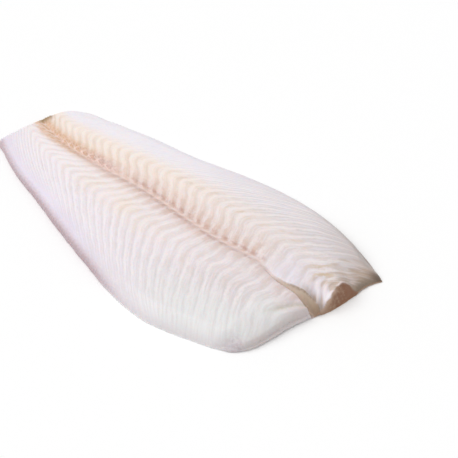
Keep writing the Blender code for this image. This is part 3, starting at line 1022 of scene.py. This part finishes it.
flame = step(to_sheet, 0.10, 0.46)
flame_length = step(dabs, 0.3, 0.7, 9.0, 15.0)
full_length = figure("MULTIPLY", flame_length, FULL_SHARE)
flames_far = product(far, step(middle, flame_length, full_length), step(along, 76.0, 98.0))
flames_far = product(flames_far, step(along, 198.0, 190.0), flame)
flames_near = product(near, step(distance, flame_length, 0.5), step(along, 55.0, 80.0))
flames_near = product(flames_near, step(along, 200.0, 125.0, 0.40, 0.8))
flames_near = product(flames_near, step(to_sheet, 0.02, 0.30, 0.35, 1.0))
coloured = glaze(coloured, FLAME_TAN, product(flames_far, 0.66))
roots = product(far, hill(middle, 2.6, 3.0), flame, step(along, 76.0, 98.0), step(along, 204.0, 196.0))
coloured = glaze(coloured, FLAME, product(roots, 0.46))
coloured = glaze(coloured, DASH, product(flames_near, 0.75))
print("With the flames the finish has", glazes(), "glazes")

# %% [markdown]
# Close to the centre line lies a dark spotted row on each side, and between the two rows a pale thread
# of tissue. Where the spine began, the tail cut shows a brown spot.

# %% Dark rows, the pale centre line and the tail spot
CENTRE_PINK = tone(236, 206, 196)
TAIL_SPOT = tone(160, 132, 98)

spots = step(speckle(330.0, 3.0), 0.44, 0.60, 0.15, 1.0)
spots_far = product(hill(middle, 2.2, 2.4), far)
spots_near = product(hill(middle, -2.2, 2.2), near)
dark_row = product(figure("MAXIMUM", spots_far, spots_near), step(along, 85.0, 105.0, 0.45, 1.0))
dark_row = product(dark_row, step(along, 206.0, 190.0), spots)
coloured = glaze(coloured, DARK_RED, product(dark_row, 0.32))
centre_line = product(step(distance, 1.0, 0.2), step(along, 2.0, 12.0), step(along, 206.0, 196.0))
coloured = glaze(coloured, CENTRE_PINK, product(centre_line, step(mottle, 0.35, 0.6, 0.1, 0.55)))
from_tail_spot = figure("ABSOLUTE", figure("ADD", middle, -2.0))
tail_spot = product(step(along, 2.0, -3.5), step(from_tail_spot, 7.0, 3.0))
coloured = glaze(coloured, TAIL_SPOT, product(tail_spot, 0.95))
print("With the centre line the finish has", glazes(), "glazes")

# %% [markdown]
# Towards the head the outer half of the near lobe is a plainer, slightly greenish white, and the crease
# behind its lip is a darker khaki, painted shade in the crease. The start of the far lobe's tongue is
# cooler. The near side ends in a soft mauve edge, where the flesh is thin and lets the dark below
# through and where painted shade darkens the rounded edge, with a thin darker rim of painted shade.

# %% The outer near lobe, the lip and the tongue
KHAKI = tone(231, 233, 232)
LIP_CREASE_SHADE = tone(204, 196, 180)

khaki = product(near, step(reach, 0.40, 0.75), step(along, 130.0, 205.0), 0.75)
khaki = figure("MAXIMUM", khaki, product(near, step(reach, 0.15, 0.40), step(along, 205.0, 228.0), 0.7))
khaki = product(khaki, step(fine_stripe, 0.0, 1.0, 1.0, 0.75), step(fine_line, 0.48, 0.34, 1.0, 0.75))
coloured = glaze(coloured, KHAKI, khaki)
# Painted shade in the crease behind the near lobe's lip.
lip_crease_shade = product(number("lip_crease"), step(mottle, 0.30, 0.60, 0.3, 0.7))
coloured = glaze(coloured, LIP_CREASE_SHADE, lip_crease_shade)
tongue_lilac = product(far, step(along, 196.0, 216.0), step(share, 0.45, 0.15), 0.32)
coloured = glaze(coloured, COOL, tongue_lilac)
print("With the outer near lobe the finish has", glazes(), "glazes")

# %% The mauve near edge, with painted shade
EDGE_MAUVE_AND_SHADE = tone(203, 185, 191)
RIM_SHADE_MAUVE = tone(178, 158, 162)
EDGE_FRAY = 3.0

frayed_side = figure("MULTIPLY_ADD", mottle, EDGE_FRAY, side)
near_edge = product(near, step(frayed_side, 6.3, 2.0), step(along, 165.0, 120.0, 0.14, 1.0))
near_edge = product(near_edge, step(along, 10.0, 95.0, 0.85, 1.0))
# Mauve of the thin flesh, with painted shade on the rounded near edge.
coloured = glaze(coloured, EDGE_MAUVE_AND_SHADE, near_edge)
# Painted shade: a thin darker rim along the near edge.
coloured = glaze(coloured, RIM_SHADE_MAUVE, product(near_edge, step(frayed_side, 3.4, 1.6), 0.6))
print("With the near edge the finish has", glazes(), "glazes")

# %% [markdown]
# The head end of the far lobe is the warmest and darkest part of the flesh, and much of its darkness is
# painted shade. A few of its bands turn gold. Its outer corner and its rim are grey-brown, and so is the
# slope down to the cut: painted shade where the flesh turns away from the light. Fine ribs cross the
# slope, the crinkles above the cut have pale ridges and tan furrows, both painted highlights and painted
# shade, and the thin tip is brown, painted shade of its steep end.

# %% Gold bands, and painted shade on the corner, the rim and the slope
GOLD = tone(204, 178, 140)
CORNER_SHADE_GREY = tone(170, 156, 146)
SLOPE_SHADE_BROWN = tone(178, 158, 144)

gold = product(stripe, hill(along, 230.0, 15.0), hill(middle, 22.0, 15.0), 0.75)
coloured = glaze(coloured, GOLD, gold)
# Painted shade: the far lobe's outer corner and its rim near the head are greyed where they turn away
# from the light.
far_corner_shade = product(far, step(share, 0.45, 0.95), step(along, 180.0, 245.0))
coloured = glaze(coloured, CORNER_SHADE_GREY, product(far_corner_shade, 0.47))
far_rim_shade = product(far, step(side, 8.0, 0.5), step(along, 175.0, 210.0))
far_rim_shade = product(far_rim_shade, step(along, 240.0, 225.0, 0.55, 0.85))
coloured = glaze(coloured, CORNER_SHADE_GREY, far_rim_shade)
# Painted shade: the slope down to the far cut is browner where it faces away from the light.
slope = product(far, step(cut, 13.0, 3.0), step(middle, 12.0, 26.0), step(streak, 0.35, 0.6, 0.7, 1.0))
coloured = glaze(coloured, SLOPE_SHADE_BROWN, slope)
print("With the slope the finish has", glazes(), "glazes")

# %% Painted light and shade on ribs and crinkles, and the shaded thin tip
RIB_HIGHLIGHT = tone(224, 208, 198)
FURROW_SHADE_TAN = tone(190, 166, 146)
RIDGE_HIGHLIGHT = tone(246, 236, 238)
TIP_SHADE_BROWN = tone(136, 119, 102)
TIP_END_SHADE = tone(110, 93, 80)
RIBS_A_BAND = 4.0

rib = frayed(to_whole(product(band_number, RIBS_A_BAND)), 0.30, 0.40)
ribbed = product(far, step(cut, 17.0, 7.0), step(middle, 10.0, 20.0))
# Painted highlight on the crests of the ribs and painted shade in their furrows.
coloured = glaze(coloured, RIB_HIGHLIGHT, product(ribbed, step(rib, 0.22, 0.0), 0.45))
coloured = glaze(coloured, FURROW_SHADE_TAN, product(ribbed, step(rib, 0.25, 0.45), 0.45))
crinkled = number("crinkle")
# Painted highlight on the crinkles' ridges and painted shade in their furrows.
ridges = product(step(crinkled, 0.02, 0.22), step(middle, 30.0, 18.0, 0.15, 0.5))
coloured = glaze(coloured, RIDGE_HIGHLIGHT, ridges)
coloured = glaze(coloured, FURROW_SHADE_TAN, product(step(crinkled, 0.0, -0.22), 0.55))
# Painted shade: the thin tip turns brown, and darker towards its end, where it bends steeply down.
tip_reach = step(middle, 28.0, 42.0, 4.0, 6.0)
tip_shade = product(far, step(frayed(cut, 3.0, 2.0), tip_reach, -0.5), step(middle, 20.0, 28.0), 0.92)
coloured = glaze(coloured, TIP_SHADE_BROWN, tip_shade)
coloured = glaze(coloured, TIP_END_SHADE, product(far, step(cut, 9.0, 3.0), step(middle, 42.0, 47.5), 0.80))
print("With the tip the finish has", glazes(), "glazes")

# %% [markdown]
# The marks of the cuts come last, over everything else. The near lobe greys towards its cut, which is
# painted shade where it rolls down. The far wall of the cleft is pale above and dark where it meets the
# cut face, with a brown rim along its top edge and a brown line at its foot; the dark end, the rim and
# the foot are painted shade in the cleft.

# %% Painted shade at the near lobe's cut and in the cleft
NEAR_CUT_ROLL_SHADE = tone(212, 204, 203)
DEEP_SHADE_BROWN = tone(144, 102, 76)
CLEFT_PALE = tone(236, 220, 206)
CLEFT_DEEP = tone(234, 217, 200)
CLEFT_RIM_SHADE = tone(154, 132, 108)
CLEFT_FOOT_SHADE = tone(158, 130, 112)

# Painted shade: the near lobe greys where it rolls down to its cut.
coloured = glaze(coloured, NEAR_CUT_ROLL_SHADE, product(near, step(cut, 7.0, 0.5), 0.5))
beside = number("beside_cleft")
cleft_tone = glaze(CLEFT_PALE, CLEFT_DEEP, step(along, 222.0, 236.0))
# Painted shade: the cleft's far wall darkens at its deep end by the cut.
cleft_tone = glaze(cleft_tone, DEEP_SHADE_BROWN, step(along, 237.0, 246.0, 0.0, 0.90))
coloured = glaze(coloured, cleft_tone, number("cleft_wall"))
# Painted shade along the top edge of the cleft's far wall and beside it.
beside_rim_shade = product(step(beside, 10.0, 4.0), step(beside, 0.5, 2.0), step(along, 222.0, 240.0), 0.60)
on_rim_shade = product(number("cleft_rim"), step(mottle, 0.30, 0.60, 0.5, 1.0), 0.92)
coloured = glaze(coloured, CLEFT_RIM_SHADE, figure("MAXIMUM", beside_rim_shade, on_rim_shade))
# Painted shade in the foot of the cleft.
cleft_foot_shade = product(hill(beside, -0.3, 1.1), step(along, 208.0, 222.0), 0.7)
coloured = glaze(coloured, CLEFT_FOOT_SHADE, cleft_foot_shade)
print("With the cleft the finish has", glazes(), "glazes")

# %% [markdown]
# The hollow face of the cut is bare muscle that has begun to dry: brown, darker in its depth, which is
# painted shade in the hollow, and a lighter tan where it meets the skinned side, which is a painted
# highlight on its rim.

# %% The colour of the hollow face, with painted shade and highlight
CUT_BROWN = tone(170, 138, 114)
RIM_HIGHLIGHT_TAN = tone(196, 166, 144)

# Painted shade: the face darkens in the hollow towards its outer part.
hollow_shade = frayed(step(middle, 7.0, 17.0, 0.24, 0.58), 1.0, 0.8)
cut_tone = glaze(CUT_BROWN, DEEP_SHADE_BROWN, step(hollow_shade, 0.32, 0.62))
# Painted highlight: a lighter tan on the face's top rim and at its inner end.
cut_tone = glaze(RIM_HIGHLIGHT_TAN, cut_tone, figure("MAXIMUM", number("face_deep"), step(middle, 15.0, 21.0)))
coloured = glaze(coloured, cut_tone, product(number("cut_face"), step(middle, 3.0, 10.0, 0.85, 1.0)))
print("With the cut face the finish has", glazes(), "glazes")

# %% [markdown]
# The walls take the colour of the flesh behind them, but on the near lobe they get a muted mauve that
# is painted shade with a mauve tint, pale again towards the head. The near cut and the corner beside it
# get a darker edge of painted shade. The wall below the far lobe's cut is as brown as the face above it.

# %% The walls and the near corner, with painted shade
WALL_SHADE_MAUVE = tone(174, 146, 154)
PALE_WALL = tone(240, 238, 240)
CORNER_SHADE_MAUVE = tone(184, 168, 174)
NEAR_CUT_EDGE_SHADE = tone(204, 190, 187)

# Painted shade with a mauve tint on the near walls, pale again towards the head.
wall_tone_and_shade = glaze(PALE_WALL, WALL_SHADE_MAUVE, step(along, 165.0, 125.0))
coloured = glaze(coloured, wall_tone_and_shade, product(step(number("wall"), 0.0, 0.6), near, 0.9))
# Painted shade on the rounded near corner, with a mauve tint.
near_corner_shade = product(near, step(cut, 17.0, 4.0), step(side, 9.0, 2.0))
near_corner_shade = product(near_corner_shade, step(mottle, 0.38, 0.62, 0.36, 0.74))
coloured = glaze(coloured, CORNER_SHADE_MAUVE, near_corner_shade)
# Painted shade: a darker edge along the near lobe's cut.
frayed_cut = figure("MULTIPLY_ADD", mottle, EDGE_FRAY, cut)
coloured = glaze(coloured, NEAR_CUT_EDGE_SHADE, product(near, step(frayed_cut, 4.5, 1.0), 0.60))
head_wall = product(step(number("wall"), 0.0, 0.3), step(cut, 5.0, 2.0), far)
coloured = glaze(coloured, CUT_BROWN, head_wall)
print("With the walls the finish has", glazes(), "glazes")

# %% [markdown]
# The surface is wet but not mirror-like. Its fibres and streaks are far too fine for the mesh, so they
# are bump: shading that only looks uneven. A little light goes into the flesh and comes out pink beside
# the spot, which is subsurface scattering. More of it would look like wax.

# %% Fibres, furrows and the wet surface
ROUGHNESS_SCALE = 60.0
ROUGHNESS = (0.36, 0.54)
FIBRE_RELIEF = 0.40
STREAK_RELIEF = 0.45
MOTTLE_RELIEF = 0.30
BUMP_STRENGTH = 0.45
BUMP_DEPTH = 0.0005
SHINE = 0.35
LIGHT_INSIDE = 0.15
LIGHT_INSIDE_SPREAD = (1.0, 0.45, 0.3)
LIGHT_INSIDE_DEPTH = 0.0015

relief = figure("MULTIPLY_ADD", fibre, FIBRE_RELIEF, figure("MULTIPLY", streak, STREAK_RELIEF))
relief = figure("MULTIPLY_ADD", mottle, MOTTLE_RELIEF, relief)
bump_node = tree.nodes.new("ShaderNodeBump")
bump_node.inputs["Strength"].default_value = BUMP_STRENGTH
bump_node.inputs["Distance"].default_value = BUMP_DEPTH
plug(relief, bump_node.inputs["Height"])
plug(bump_node.outputs["Normal"], shader.inputs["Normal"])
plug(coloured, shader.inputs["Base Color"])
plug(step(speckle(ROUGHNESS_SCALE, 3.0), 0.3, 0.7, *ROUGHNESS), shader.inputs["Roughness"])
shader.inputs["Specular IOR Level"].default_value = SHINE
shader.inputs["Subsurface Weight"].default_value = LIGHT_INSIDE
shader.inputs["Subsurface Radius"].default_value = LIGHT_INSIDE_SPREAD
shader.inputs["Subsurface Scale"].default_value = LIGHT_INSIDE_DEPTH
fillet.data.materials.clear()
fillet.data.materials.append(flesh)
print("The finish has", len(tree.nodes), "nodes")

# %% [markdown]
# ## Floor and light
#
# A plain near-white floor takes the place of a table. The light is a very wide soft sun, high and from
# the tail end, with an even sky. It is nearly flat, so the bands throw little shadow, and the cut faces
# at the head, which also carry painted shade, are the darkest places.

# %% The floor
FLOOR_SIZE = 6.0
FLOOR_TONE = tone(255, 255, 255)
FLOOR_ROUGHNESS = 0.9

bpy.ops.mesh.primitive_plane_add(size=FLOOR_SIZE, location=(0, 0, 0))
floor = bpy.context.object
floor.name = "floor"
paper = bpy.data.materials.new("pale_paper")
paper.use_nodes = True
paper.node_tree.nodes["Principled BSDF"].inputs["Base Color"].default_value = FLOOR_TONE
paper.node_tree.nodes["Principled BSDF"].inputs["Roughness"].default_value = FLOOR_ROUGHNESS
floor.data.materials.append(paper)
print("The floor is", FLOOR_SIZE, "m wide")

# %% The light
SUN_FROM = (-0.45, -0.40, 1.0)
SUN_WIDTH = radians(60)
SUN_STRENGTH = 1.65
SKY_TONE = (1.0, 1.0, 1.0, 1.0)
SKY_STRENGTH = 0.55

toward_floor = (-Vector(SUN_FROM)).to_track_quat("-Z", "Y").to_euler()
bpy.ops.object.light_add(type="SUN", location=SUN_FROM, rotation=toward_floor)
sun = bpy.context.object
sun.name = "soft_sun"
sun.data.angle = SUN_WIDTH
sun.data.energy = SUN_STRENGTH
sky = bpy.data.worlds.new("soft_sky")
sky.use_nodes = True
sky.node_tree.nodes["Background"].inputs["Color"].default_value = SKY_TONE
sky.node_tree.nodes["Background"].inputs["Strength"].default_value = SKY_STRENGTH
bpy.context.scene.world = sky
bpy.context.scene.view_settings.view_transform = "Standard"
bpy.context.scene.view_settings.look = "None"
print("The sun is", round(sun.data.angle / radians(1)), "degrees wide")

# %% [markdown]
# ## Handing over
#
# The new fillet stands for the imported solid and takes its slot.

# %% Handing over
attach(fillet, "root")
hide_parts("fillet")
